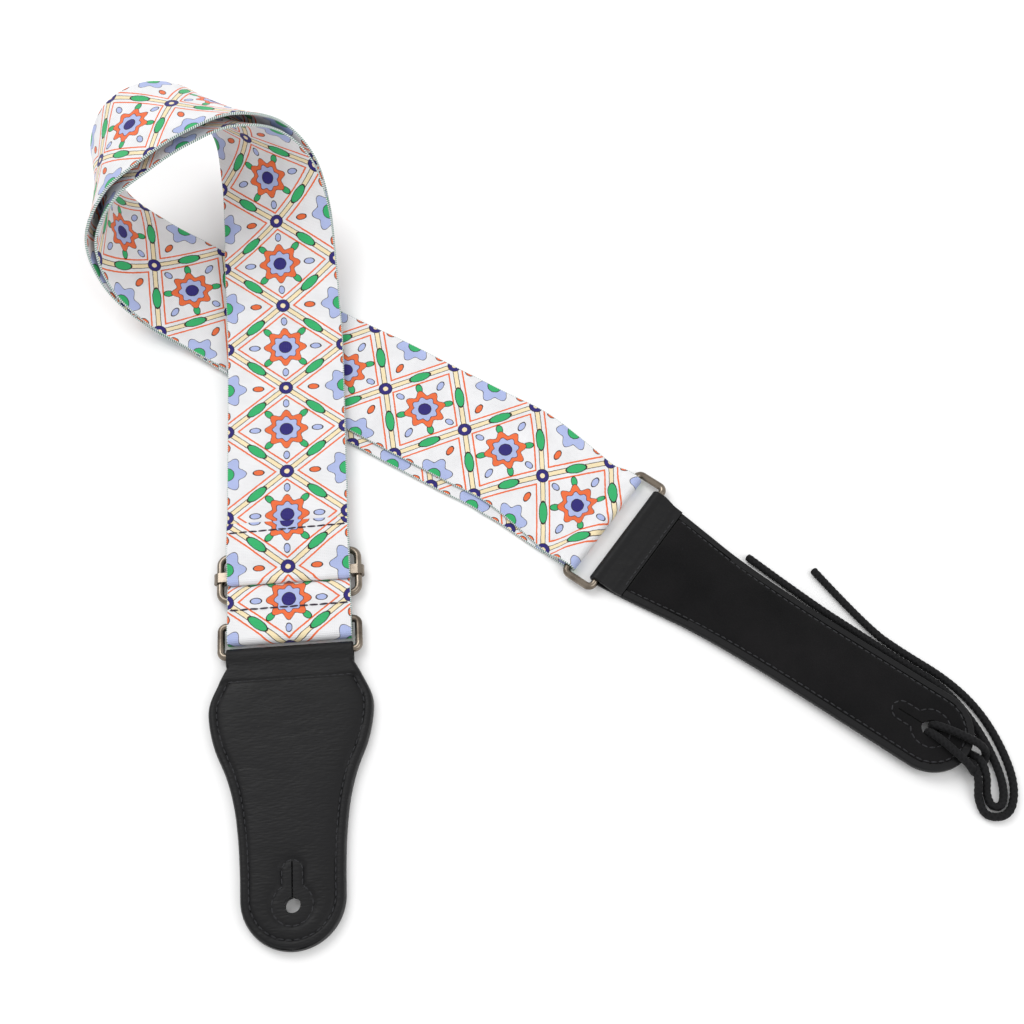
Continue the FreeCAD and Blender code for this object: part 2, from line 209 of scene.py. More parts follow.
def blob(tree, point, x, y, halfX, halfY, turn=0):
    # distance in mm from the rim of an ellipse, below nought inside it
    placed = addNode(tree, "ShaderNodeMapping", {
        "Vector": point, "Location": (x, y, 0), "Rotation": (0, 0, math.radians(turn)),
        "Scale": (halfX, halfY, 1)}, vector_type="TEXTURE")
    length = addNode(tree, "ShaderNodeVectorMath", {0: placed.outputs[0]}, operation="LENGTH")
    small = min(halfX, halfY)
    return calc(tree, "MULTIPLY_ADD", length.outputs["Value"], small, -small)


def daisy(tree, point, x, y, radius, petals, depth):
    # distance in mm from the rim of a round flower with even petals
    parts = addNode(tree, "ShaderNodeSeparateXYZ", {0: point})
    across = calc(tree, "SUBTRACT", parts.outputs[0], x)
    along = calc(tree, "SUBTRACT", parts.outputs[1], y)
    around = calc(tree, "MULTIPLY", calc(tree, "ARCTAN2", along, across), petals)
    wave = calc(tree, "COSINE", around)
    return calc(tree, "MULTIPLY_ADD", wave, -depth, blob(tree, point, x, y, radius, radius))


def inked(tree, below, distance, fill, line=None):
    outlined = calc(tree, "LESS_THAN", distance, printLook["line"] if line is None else line)
    colour = layColour(tree, below, outlined, printLook["ink"])
    return layColour(tree, colour, calc(tree, "LESS_THAN", distance, 0.0), fill)


def banded(tree, below, distance, stops):
    # stops: (distance up to which the colour goes, colour)
    colour = below
    for limit, fill in stops:
        colour = layColour(tree, colour, calc(tree, "LESS_THAN", distance, limit), fill)
    return colour


def printColour(tree, uv):
    # daisies in the cells of a diamond trellis, mirrored about both middle lines of a tile
    look = printLook
    halfWide, halfLong = look["width"] / 2, look["repeat"] / 2
    parts = addNode(tree, "ShaderNodeSeparateXYZ", {0: uv})
    x = calc(tree, "ABSOLUTE", calc(tree, "MULTIPLY", parts.outputs[0], look["width"]))
    y = calc(tree, "PINGPONG", calc(tree, "MULTIPLY", parts.outputs[1], look["repeat"]), halfLong)
    tile = addNode(tree, "ShaderNodeCombineXYZ", {0: x, 1: y}).outputs[0]

    # each bar of the trellis runs from the edge of the band to its middle line
    slope = halfLong / halfWide
    slant = calc(tree, "MULTIPLY_ADD", x, slope, calc(tree, "SUBTRACT", y, halfLong))
    fromBar = calc(tree, "MULTIPLY", calc(tree, "ABSOLUTE", slant), 1 / math.hypot(1, slope))
    colour = banded(tree, look["ground"], fromBar, [
        (3.3, look["orange"]), (2.6, look["ground"]), (1.15, look["ink"]), (0.85, look["cream"])])
    barTurn = -math.degrees(math.atan(slope))
    leaf = blob(tree, tile, halfWide / 2, halfLong / 2, 4.4, 1.7, barTurn)
    colour = inked(tree, colour, leaf, look["green"])
    for x0, y0 in ((halfWide, 0.0), (0.0, halfLong)):
        colour = inked(tree, colour, blob(tree, tile, x0, y0, 2.7, 2.7), look["navy"])
        colour = inked(tree, colour, blob(tree, tile, x0, y0, 1.1, 1.1), look["cream"], 0.0)

    # a large flower in the middle of a cell, a smaller one in the half cells at the edges
    for x0, y0, halfX, halfY in ((13.2, 0.0, 2.0, 1.1), (0.0, 12.4, 1.1, 1.6)):
        colour = inked(tree, colour, blob(tree, tile, x0, y0, halfX, halfY), look["lilac"])
        mirrored = (halfWide - x0, halfLong - y0, halfX, halfY)
        colour = inked(tree, colour, blob(tree, tile, *mirrored), look["orange"])
    colour = inked(tree, colour, blob(tree, tile, 7.3, 7.3, 1.9, 1.2, 45), look["green"])
    colour = inked(tree, colour, daisy(tree, tile, 0.0, 0.0, 7.8, 8.0, 1.2), look["orange"])
    colour = inked(tree, colour, daisy(tree, tile, 0.0, 0.0, 5.2, 8.0, 0.6), look["lilac"])
    colour = inked(tree, colour, blob(tree, tile, 0.0, 0.0, 2.6, 2.6), look["navy"])
    colour = inked(tree, colour, daisy(tree, tile, halfWide, halfLong, 6.8, 6.0, 1.2), look["lilac"])
    return inked(tree, colour, blob(tree, tile, halfWide, halfLong, 2.8, 2.8), look["green"])


weaveLook = {"ribsPerMm": 1.6, "crossPerMm": 1.25, "depth": 0.00016, "hatchTurn": 7.0, "selvedge": 24.65}


def makeWebbingMaterial():
    material, tree, shader = newMaterial("printedWebbing", Roughness=0.72, Sheen_Weight=0.18,
                                         Sheen_Roughness=0.4, Specular_IOR_Level=0.3)
    uv = addNode(tree, "ShaderNodeUVMap", uv_map="print").outputs[0]
    tileSize = (printLook["width"], printLook["repeat"], 0)
    millimetres = addNode(tree, "ShaderNodeVectorMath", {0: uv, 1: tileSize},
                          operation="MULTIPLY").outputs[0]
    wobble = addNode(tree, "ShaderNodeTexNoise", {"Vector": millimetres, "Scale": 0.9, "Detail": 2.0})
    shift = addNode(tree, "ShaderNodeVectorMath", {0: wobble.outputs["Color"], 1: (0.5, 0.5, 0.5)},
                    operation="SUBTRACT").outputs[0]
    shift = addNode(tree, "ShaderNodeVectorMath", {0: shift, 1: (0.008, 0.008, 0)},
                    operation="MULTIPLY").outputs[0]
    drawn = addNode(tree, "ShaderNodeVectorMath", {0: uv, 1: shift}, operation="ADD").outputs[0]
    colour = printColour(tree, drawn)
    parts = addNode(tree, "ShaderNodeSeparateXYZ", {0: millimetres})
    across, along = parts.outputs[0], parts.outputs[1]
    hatchWave = calc(tree, "SINE", calc(tree, "MULTIPLY", along, weaveLook["hatchTurn"]))
    hatch = calc(tree, "GREATER_THAN", hatchWave, 0.0)
    selvedge = layColour(tree, printLook["selvedge"], hatch, printLook["ground"])
    atEdge = calc(tree, "GREATER_THAN", calc(tree, "ABSOLUTE", across), weaveLook["selvedge"])
    colour = layColour(tree, colour, atEdge, selvedge)
    turnsAcross = 2 * math.pi * weaveLook["crossPerMm"]
    turnsAlong = 2 * math.pi * weaveLook["ribsPerMm"]
    rib = calc(tree, "SINE", calc(tree, "MULTIPLY", along, turnsAlong))
    warp = calc(tree, "SINE", calc(tree, "MULTIPLY", across, turnsAcross))
    height = calc(tree, "MULTIPLY", rib, warp)
    height = calc(tree, "ADD", calc(tree, "MULTIPLY", height, 0.5), calc(tree, "MULTIPLY", rib, 0.35))
    fuzz = noise(tree, millimetres, 3.0, 4.0)
    height = calc(tree, "ADD", height, fuzz)
    shade = ranged(tree, height, -0.6, 1.6, 0.84, 1.04)
    cloudy = ranged(tree, noise(tree, millimetres, 0.09, 2.0), 0.3, 0.7, 0.94, 1.03)
    shade = calc(tree, "MULTIPLY", shade, cloudy)
    tone = addNode(tree, "ShaderNodeVectorMath", {0: colour, 1: (1, 1, 1)}, operation="MULTIPLY")
    grey = addNode(tree, "ShaderNodeCombineXYZ", {0: shade, 1: shade, 2: shade}).outputs[0]
    tree.links.new(grey, tone.inputs[1])
    tree.links.new(tone.outputs[0], shader.inputs["Base Color"])
    edge = ranged(tree, calc(tree, "ABSOLUTE", across), 23.4, 23.9, 0.0, 0.8)
    height = calc(tree, "ADD", height, edge)
    tree.links.new(bump(tree, height, 0.7, weaveLook["depth"]), shader.inputs["Normal"])
    return material


def objectPoint(tree):
    return addNode(tree, "ShaderNodeTexCoord").outputs["Object"]


leatherLook = {"dark": tint(11, 11, 12), "light": tint(16, 16, 18), "grain": 900.0, "crease": 260.0}


def makeLeatherMaterial():
    material, tree, shader = newMaterial("grainLeather", Specular_IOR_Level=0.2, Coat_Weight=0.04,
                                         Coat_Roughness=0.3)
    place = objectPoint(tree)
    stretched = addNode(tree, "ShaderNodeMapping", {"Vector": place, "Scale": (0.45, 1.5, 1.0)}).outputs[0]
    crease = noise(tree, stretched, leatherLook["crease"], 5.0, 0.6)
    pebble = addNode(tree, "ShaderNodeTexVoronoi", {"Vector": stretched, "Scale": leatherLook["grain"]},
                     feature="SMOOTH_F1")
    cell = pebble.outputs["Distance"]
    cloud = noise(tree, place, 30.0, 2.0)
    height = calc(tree, "MULTIPLY_ADD", cell, 0.8, crease)
    # painted shade: the colour is darker where the crease noise, which also raises the bump, is low, so the
    # creases read darker; the cloud noise adds random tone
    share = ranged(tree, calc(tree, "MULTIPLY_ADD", cloud, 0.6, crease), 0.45, 1.1, 0.0, 1.0)
    colour = layColour(tree, leatherLook["dark"], share, leatherLook["light"])
    tree.links.new(colour, shader.inputs["Base Color"])
    tree.links.new(ranged(tree, crease, 0.3, 0.7, 0.40, 0.58), shader.inputs["Roughness"])
    tree.links.new(bump(tree, height, 0.55, 0.00028), shader.inputs["Normal"])
    return material


def makeSuedeMaterial():
    material, tree, shader = newMaterial("suedeLining", Roughness=0.92, Specular_IOR_Level=0.1,
                                         Sheen_Weight=0.05, Sheen_Roughness=0.6)
    place = objectPoint(tree)
    nap = noise(tree, place, 1500.0, 4.0, 0.7)
    cloud = noise(tree, place, 45.0, 3.0)
    share = ranged(tree, calc(tree, "MULTIPLY_ADD", nap, 0.5, cloud), 0.5, 1.0, 0.0, 1.0)
    colour = layColour(tree, tint(8, 8, 9), share, tint(22, 21, 22))
    tree.links.new(colour, shader.inputs["Base Color"])
    tree.links.new(bump(tree, nap, 0.6, 0.0002), shader.inputs["Normal"])
    return material


def makeNickelMaterial():
    material, tree, shader = newMaterial("nickelWire", Metallic=1.0)
    place = objectPoint(tree)
    tarnish = noise(tree, place, 120.0, 4.0)
    brushed = noise(tree, place, 2400.0, 2.0)
    colour = layColour(tree, tint(134, 124, 112), ranged(tree, tarnish, 0.4, 0.7, 0.0, 1.0), tint(84, 75, 66))
    tree.links.new(colour, shader.inputs["Base Color"])
    tree.links.new(ranged(tree, tarnish, 0.35, 0.7, 0.16, 0.36), shader.inputs["Roughness"])
    tree.links.new(bump(tree, brushed, 0.15, 0.00005), shader.inputs["Normal"])
    return material


def makeThreadMaterial(name, dark, light):
    material, tree, shader = newMaterial(name, Roughness=0.6, Sheen_Weight=0.06, Specular_IOR_Level=0.3)
    place = objectPoint(tree)
    twist = noise(tree, place, 2600.0, 2.0)
    colour = layColour(tree, dark, ranged(tree, twist, 0.35, 0.65, 0.0, 1.0), light)
    tree.links.new(colour, shader.inputs["Base Color"])
    tree.links.new(bump(tree, twist, 0.5, 0.0001), shader.inputs["Normal"])
    return material


def makeCordMaterial():
    material, tree, shader = newMaterial("braidedLace", Roughness=0.75, Specular_IOR_Level=0.2,
                                         Sheen_Weight=0.05,
                                         Sheen_Roughness=0.4)
    place = objectPoint(tree)
    fibre = noise(tree, place, 2200.0, 3.0)
    # painted shade: the cord is darker in the grooves between the braid's strands and lighter on their
    # ridges, with fine fibre noise
    ridgeShade = addNode(tree, "ShaderNodeAttribute", attribute_name="ridgeShade").outputs["Fac"]
    share = calc(tree, "MULTIPLY", ridgeShade, ranged(tree, fibre, 0.3, 0.7, 0.5, 1.0))
    colour = layColour(tree, tint(6, 6, 7), share, tint(24, 24, 26))
    tree.links.new(colour, shader.inputs["Base Color"])
    tree.links.new(bump(tree, fibre, 0.5, 0.00012), shader.inputs["Normal"])
    return material


webbingMaterial = makeWebbingMaterial()
leatherMaterial = makeLeatherMaterial()
suedeMaterial = makeSuedeMaterial()
nickelMaterial = makeNickelMaterial()
tabThreadMaterial = makeThreadMaterial("waxedThread", tint(20, 20, 22), tint(46, 46, 50))
webThreadMaterial = makeThreadMaterial("darkThread", tint(26, 18, 34), tint(60, 44, 60))
cordMaterial = makeCordMaterial()
print("materials made")

# ---- bootlace: two halves of one cord, each with its route ----
cordLook = {"diameter": 3.2, "bodyRadius": 1.48, "braidDepth": 0.14, "strandsRound": 4, "braidStep": 4.2}
floorHeight = 1.65
holeSide = 1.68
topHeight = 8.8
rimHeight = 9.5
hitchAlong = 167.3
overHitch = 5.7
holeAlong = rearEnd["hole"]
longRoute = [
    rearPoint(hitchAlong, 0, floorHeight), rearPoint(hitchAlong, 4.9, floorHeight),
    rearPoint(162.3, 4.9, rimHeight), rearPoint(holeAlong, holeSide, topHeight),
    rearPoint(holeAlong, holeSide, floorHeight), rearPoint(161.4, holeSide, floorHeight),
    rearPoint(165.3, 0.8, overHitch), rearPoint(170.6, -4.0, overHitch),
    (265.0, 22.5, floorHeight), (266.0, 17.0, floorHeight), (270.5, 17.0, floorHeight),
    (272.5, 25.0, floorHeight), (270.8, 37.0, floorHeight), (266.0, 51.0, floorHeight),
    rearPoint(140.0, 19.6, floorHeight), rearPoint(122.0, 19.3, floorHeight),
    rearPoint(100.0, 19.6, floorHeight), rearPoint(78.0, 19.8, floorHeight),
    rearPoint(47.0, 22.2, floorHeight)]
shortRoute = [
    rearPoint(hitchAlong, 0, floorHeight), rearPoint(hitchAlong, -4.9, floorHeight),
    rearPoint(162.3, -4.9, rimHeight), rearPoint(holeAlong, -holeSide, topHeight),
    rearPoint(holeAlong, -holeSide, floorHeight), rearPoint(161.4, -holeSide, floorHeight),
    rearPoint(164.6, -2.6, overHitch), rearPoint(169.0, -7.6, overHitch),
    (261.4, 21.0, floorHeight), (263.0, 13.2, floorHeight), (272.6, 13.2, floorHeight),
    (277.0, 24.5, floorHeight), (275.0, 40.0, floorHeight), (269.0, 56.0, floorHeight),
    rearPoint(139.0, 23.2, floorHeight), rearPoint(120.0, 22.8, floorHeight),
    rearPoint(103.0, 23.6, floorHeight), rearPoint(72.0, 33.0, floorHeight)]


def routeLine(points):
    # the smooth line of a spline with these control points
    data = bpy.data.curves.new("route", "CURVE")
    data.dimensions = "3D"
    data.resolution_u = 24
    spline = data.splines.new("NURBS")
    spline.points.add(len(points) - 1)
    for place, point in zip(points, spline.points):
        point.co = (*(c * mm for c in place), 1)
    spline.order_u = 3
    spline.use_endpoint_u = True
    holder = bpy.data.objects.new("route", data)
    bpy.context.collection.objects.link(holder)
    bpy.context.view_layer.update()
    mesh = bpy.data.meshes.new_from_object(holder)
    line = np.array([v.co for v in mesh.vertices])
    bpy.data.objects.remove(holder)
    return line


def evenly(line, step):
    lengths = np.concatenate([[0], np.cumsum(np.linalg.norm(np.diff(line, axis=0), axis=1))])
    places = np.linspace(0, lengths[-1], max(2, int(lengths[-1] / step)))
    return np.array([np.interp(places, lengths, line[:, k]) for k in range(3)]).T, places


def makeCord(name, route, node):
    line = routeLine(route)
    points, places = evenly(line, 0.35 * mm)
    tangents = np.gradient(points, axis=0)
    tangents /= np.linalg.norm(tangents, axis=1)[:, None]
    side = np.cross(tangents[0], (0, 0, 1.0))
    around = 24
    verts, ridgeShade = [], []
    for i, (point, along) in enumerate(zip(points, tangents)):
        side = side - along * np.dot(side, along)
        side /= np.linalg.norm(side)
        up = np.cross(along, side)
        fromEnd = min(places[i], places[-1] - places[i]) / (0.9 * mm)
        taper = math.sqrt(max(0.03, 1 - (1 - min(fromEnd, 1)) ** 2))
        for j in range(around):
            angle = 2 * math.pi * j / around
            run = 2 * math.pi * places[i] / (cordLook["braidStep"] * mm)
            oneWay = math.sin(cordLook["strandsRound"] * angle + run * 2)
            otherWay = math.sin(cordLook["strandsRound"] * angle - run * 2)
            ridge = max(oneWay, otherWay)
            radius = (cordLook["bodyRadius"] + cordLook["braidDepth"] * ridge) * mm * taper
            verts.append(point + (side * math.cos(angle) + up * math.sin(angle)) * radius)
            # the ridge height is kept to paint shade in the grooves between the strands
            ridgeShade.append(0.5 + 0.5 * ridge)
    faces = []
    for i in range(len(points) - 1):
        for j in range(around):
            k = (j + 1) % around
            faces.append((i * around + j, i * around + k, (i + 1) * around + k, (i + 1) * around + j))
    faces.append(tuple(range(around)))
    faces.append(tuple(range((len(points) - 1) * around, len(points) * around)))
    cord = meshPiece(name, verts, faces, 60)
    layer = cord.data.attributes.new("ridgeShade", "FLOAT", "POINT")
    layer.data.foreach_set("value", np.array(ridgeShade, np.float32))
    paint(cord, cordMaterial)
    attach(cord, "rear_tab")
    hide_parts(node)
    print(name, "length", round(float(places[-1]) / mm, 1))
    return cord


makeCord("laceLongTail", longRoute, "cord_long_tail")
makeCord("laceShortTail", shortRoute, "cord_short_tail")
print("bootlace made")

# ---- webbing ----
webbingSize = {"width": 50.0, "thick": 1.4, "gap": 0.1, "loopOpening": 4.5, "rearShift": 4.5,
               "firstFlower": 8.0, "underOffset": 4.5}
strapStations = [
    (-25, 150, 6, 25, 150, 6), (-25, 174, 6, 25, 174, 6), (-25, 198, 6.3, 25, 198, 6),
    (-25, 220, 7, 25, 220, 6), (-25, 241, 8, 25, 241, 7), (-25, 261, 9.5, 24, 260, 11),
    (-25, 281, 11.5, 23, 280, 17), (-25, 301, 13, 22, 299, 26), (-25, 322, 17, 17, 314, 40),
    (-27, 341, 26, 5, 319, 57), (-36, 350, 42, -13, 314, 68), (-53, 347, 53, -32, 305, 69),
    (-70, 338, 51, -49, 295, 66), (-78, 327, 35, -66, 285, 59), (-70, 317, 18, -77, 274, 43),
    (-53, 307, 9, -74, 264, 23), (-34, 296, 6, -61, 254, 9), (-17, 285, 4, -44, 244, 4),
    (0, 274, 2.4, -28, 233, 2.4), (16, 264, 1.6, -11, 222, 1.6),
    (33, 252.5, 1.5, 6, 211, 1.5), (54, 239.5, 1.5, 26, 198, 1.5),
    (74, 225.7, 1.5, 46, 184.3, 1.5), (94, 212, 1.5, 65, 171.4, 1.5),
    (113.5, 198.5, 1.5, 83.5, 158.5, 1.5),
    rearPoint(-22, 25, 1.5) + rearPoint(-22, -25, 1.5)]


def crossSection(width, thick):
    # (across, up) points round a strip with soft edges
    half, rise = width / 2, thick / 2
    flat = np.linspace(-half + 0.5, half - 0.5, 17)
    edge = [(half - 0.12, rise * 0.72), (half, 0.0), (half - 0.12, -rise * 0.72)]
    top = [(a, rise) for a in flat]
    bottom = [(a, -rise) for a in flat[::-1]]
    return top + edge + bottom + [(-a, -b) for a, b in edge]


def makeRibbon(name, centres, sides, normals, alongStart, direction=1):
    # sides point to the strip's left edge, distances in mm
    section = crossSection(webbingSize["width"], webbingSize["thick"])
    places = np.concatenate([[0], np.cumsum(np.linalg.norm(np.diff(centres, axis=0), axis=1))])
    verts = [(c + s * a + n * b) * mm for c, s, n in zip(centres, sides, normals) for a, b in section]
    count = len(section)
    faces = []
    for i in range(len(centres) - 1):
        for j in range(count):
            k = (j + 1) % count
            faces.append((i * count + j, i * count + k, (i + 1) * count + k, (i + 1) * count + j))
    faces.append(tuple(range(count)))
    faces.append(tuple(range((len(centres) - 1) * count, len(centres) * count)))
    ribbon = meshPiece(name, verts, faces, 35)
    layer = ribbon.data.uv_layers.new(name="print")
    across = [a / printLook["width"] for a, b in section]
    along = (alongStart + direction * places) / printLook["repeat"]
    for loop in ribbon.data.loops:
        row, column = divmod(loop.vertex_index, count)
        layer.data[loop.index].uv = (across[column], along[row])
    paint(ribbon, webbingMaterial)
    return ribbon


def bandNormals(centres, sides):
    along = np.gradient(centres, axis=0)
    normals = np.cross(along, sides)
    return normals / np.linalg.norm(normals, axis=1)[:, None]


def makeRuns():
    steps = 12
    strap = smoothCurve(strapStations, steps)
    left, right = strap[:, :3], strap[:, 3:]
    centres = (left + right) / 2
    sides = left - right
    sides /= np.linalg.norm(sides, axis=1)[:, None]
    normals = bandNormals(centres, sides)
    station = np.arange(len(strap)) / steps
    opening = webbingSize["loopOpening"] * np.sin(math.pi * np.clip((station - 5) / 13, 0, 1)) ** 2
    offset = ((webbingSize["thick"] + webbingSize["gap"] + opening) / 2)[:, None]
    rise = np.clip((station - 17) / 4, 0, 1)
    fall = np.clip(station[-1] - station, 0, 1)
    shift = (webbingSize["rearShift"] * rise * fall)[:, None]
    over = centres + normals * offset
    under = centres - normals * offset - sides * shift
    split = 7 * steps       # before the loop turns over
    start = -webbingSize["firstFlower"]
    runs = (("overRun", over, "over_run", start),
            ("underRun", under, "under_run", start - webbingSize["underOffset"]))
    for name, line, node, printStart in runs:
        reach = np.linalg.norm(np.diff(line[:split + 1], axis=0), axis=1).sum()
        front = makeRibbon(name + "Front", line[:split + 1], sides[:split + 1], normals[:split + 1],
                           printStart)
        loop = makeRibbon(name + "Loop", line[split:], sides[split:], normals[split:], printStart + reach)
        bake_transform(front)
        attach(loop, "webbing")
        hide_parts(node)
    return np.linalg.norm(np.diff(over, axis=0), axis=1).sum() + start


runEnd = makeRuns()
print("webbing runs made, print distance at the rear", round(runEnd, 1))


def profileRibbon(name, profile, alongStart, direction, place=None):
    # a strip that keeps one (y, z) profile across its width; place moves it to the rear end
    centres = np.array([(0, y, z) for y, z in profile], float)
    sides = np.tile((-1.0, 0.0, 0.0), (len(centres), 1))
    normals = bandNormals(centres, sides)
    if place:
        centres, sides, normals = place(centres), place(sides, True), place(normals, True)
    return makeRibbon(name, centres, sides, normals, alongStart, direction)


def toRear(points, directionOnly=False):
    # from a shape with its fold at y = 0 and its tip towards -Y
    turn = math.radians(rearEnd["heading"] + 90)
    points = np.array(points, float)
    x = points[:, 0] * math.cos(turn) - points[:, 1] * math.sin(turn)
    y = points[:, 0] * math.sin(turn) + points[:, 1] * math.cos(turn)
    moved = np.stack([x, y, points[:, 2]], axis=1)
    if not directionOnly:
        moved += np.array([*rearEnd["fold"], 0])
    return moved


barHeight = 3.1
wrapRadius = 2.3            # middle of a 1.4 mm wrap round a 3 mm wire
foldY = 101.9
barTwoY = foldY - wrapRadius - 0.7
barOneY = barTwoY + 12.8


def makeRearBight():
    barY = 12.8 - wrapRadius - 0.7
    low = 0.75
    profile = [(22, low), (18, low), (barY + 4, low), (barY + 2, low)]
    profile += arcPoints((barY, barHeight), barHeight - low, 270, 90, 24)
    profile += list(smoothCurve([(barY + 1.5, 2 * barHeight - low), (barY + 4.5, 5.0), (barY + 7.5, 3.2),
                                 (barY + 10, 2.25), (22, 2.25)], 8))
    # distances run back from the over run's end, over the top, round the bar and underneath
    profile = profile[::-1]
    bight = profileRibbon("rearBight", profile, runEnd, 1, toRear)
    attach(bight, "webbing")
    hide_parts("rear_bight")


def makeFrontWebbing():
    turnY = foldY + 1.5 + 0.7 + (barHeight - 0.75)
    loop = list(smoothCurve([(118.5, 3.5), (117, 3.0), (115.4, 1.7), (113.6, 0.85), (111, 0.75)], 6))
    loop += arcPoints((turnY, barHeight), barHeight - 0.75, 270, 90, 24)
    loop += list(smoothCurve([(turnY + 2, 5.45), (barOneY - 1, 5.5), (barOneY + 1.3, 5.45),
                              (115.4, 5.25), (117, 5.1), (118.5, 5.05)], 8))
    reach = sum(math.dist(a, b) for a, b in zip(loop, loop[1:]))
    endLoop = profileRibbon("frontEndLoop", loop, -2.5 - reach, 1)
    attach(endLoop, "webbing")
    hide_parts("front_end_loop")
    weave = smoothCurve([(118.5, 5.05), (120.5, 5.12), (123, 5.3), (125.6, 5.0), (127.2, 4.3), (128.4, 3.3),
                         (129.6, 2.45), (131, 2.2), (132.5, 2.15), (134.5, 2.0), (136.2, 2.2),
                         (139, 4.1), (142, 5.3), (145.5, 5.3), (148, 5.25),
                         (149.95, 5.25)], 12)
    woven = profileRibbon("glideWeave", weave, -2.5, 1)
    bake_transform(woven)
    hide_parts("glide_weave")
    barTurn = 1.3
    bar = (130.7, 5.0)      # where the flap turns round the centre bar
    flap = list(smoothCurve([(149.95, 6.75), (148, 6.75), (145.5, 6.85), (142, 6.8), (138.5, 5.8),
                             (136.2, 4.4), (134.2, bar[1] - barTurn), (bar[0], bar[1] - barTurn)], 6)[:-1])
    flap += arcPoints(bar, barTurn, 270, 90, 16)
    flap += list(smoothCurve([(132.2, 6.3), (134.5, 6.4), (138, 7.4), (142, 8.5), (146, 8.6), (150.8, 8.4),
                              (154.5, 8.35)], 8))
    reach = sum(math.dist(a, b) for a, b in zip(flap, flap[1:]))
    flapLoop = profileRibbon("glideLoop", flap, -reach, 1)
    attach(flapLoop, "slider")
    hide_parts("glide_loop")


makeRearBight()
makeFrontWebbing()
print("webbing ends made")

# ---- leather tabs ----
frontTab = {
    "side": [(94, 25.2), (88, 28.3), (79.5, 31.9), (72, 32.1), (61.5, 29.8), (50, 25.2), (38.5, 22.2),
             (26, 20.6), (14, 19.9), (3.4, 19.7)],
    "tip": (3.4, 19.7), "rim": 5.0, "puff": 0.9, "seam": 3.6, "crossSeam": 87.6, "hole": 3.0}
rearTab = {
    "side": [(-6, 23.8), (-16, 22.8), (-28, 21.2), (-43, 19.2), (-60, 17.9), (-80, 17.2), (-100, 17.0),
             (-122, 17.0), (-143.7, 17.0)],
    "tip": (-143.7, 17.0), "rim": 2.65, "seam": 3.6, "panelInset": 2.9, "crossSeam": -14.6, "hole": 3.5}
halfColumns = 30
columnShares = np.sin(np.linspace(-math.pi / 2, math.pi / 2, 2 * halfColumns + 1))


def halfWidths(tab, inset=0.0):
    # (y, half width) from the neck to the tip, closely spaced
    side = smoothCurve(tab["side"], 16)
    slope = np.gradient(side[:, 1], side[:, 0])
    widths = side[:, 1] - inset * np.sqrt(1 + slope ** 2)
    centre, radius = tab["tip"]
    angles = np.radians(np.linspace(0, 90, 40))[1:]
    tip = np.stack([centre - (radius - inset) * np.sin(angles), (radius - inset) * np.cos(angles)], axis=1)
    return np.vstack([np.stack([side[:, 0], widths], axis=1), tip])


def outlineDistance(tab, x, y):
    # how far inside the outline each point lies
    rows = halfWidths(tab)
    outline = np.vstack([rows, rows[::-1] * (1, -1)])
    result = np.empty(len(x))
    for i in range(0, len(x), 2000):
        dy = y[i:i + 2000, None] - outline[None, :, 0]
        dx = x[i:i + 2000, None] - outline[None, :, 1]
        result[i:i + 2000] = np.sqrt(np.min(dx * dx + dy * dy, axis=1))
    return result


def keyholeDistance(x, y):
    # outside the sewn keyhole round a hole at the origin, with its neck towards +Y
    neck = np.hypot(x, y - np.clip(y, 0, 12.5)) - 3.9
    return np.minimum(np.hypot(x, y) - 7.4, neck)


def groove(distance, width=0.45):
    return np.exp(-(distance / width) ** 2)


def roundedRise(distance, radius):
    # 0 at the edge, 1 from radius inwards, along a quarter circle
    share = np.clip(distance / radius, 0, 1)
    return np.sqrt(np.maximum(0, 1 - (1 - share) ** 2))


def makeSheet(name, rows, outer, inner, material, place=None):
    # rows of (half width); outer and inner give (y, z) arrays for a row's x values
    count = len(columnShares)
    outerPoints, innerPoints = [], []
    for i, half in enumerate(rows):
        x = columnShares * half
        oy, oz = outer(i, x)
        iy, iz = inner(i, x)
        outerPoints.append(np.stack([x, oy, oz], axis=1))
        innerPoints.append(np.stack([x, iy, iz], axis=1))
    verts = np.vstack(outerPoints + innerPoints)
    shift = len(rows) * count
    faces = []
    for i in range(len(rows) - 1):
        for j in range(count - 1):
            a, b = i * count + j, (i + 1) * count + j
            faces.append((a, a + 1, b + 1, b))
            faces.append((shift + a, shift + b, shift + b + 1, shift + a + 1))
        for j in (0, count - 1):
            a, b = i * count + j, (i + 1) * count + j
            faces.append((a, b, shift + b, shift + a))
    for i in (0, len(rows) - 1):
        for j in range(count - 1):
            a = i * count + j
            faces.append((a, shift + a, shift + a + 1, a + 1))
    if place:
        verts = place(verts)
    sheet = meshPiece(name, verts * mm, faces, 50)
    paint(sheet, material)
    return sheet


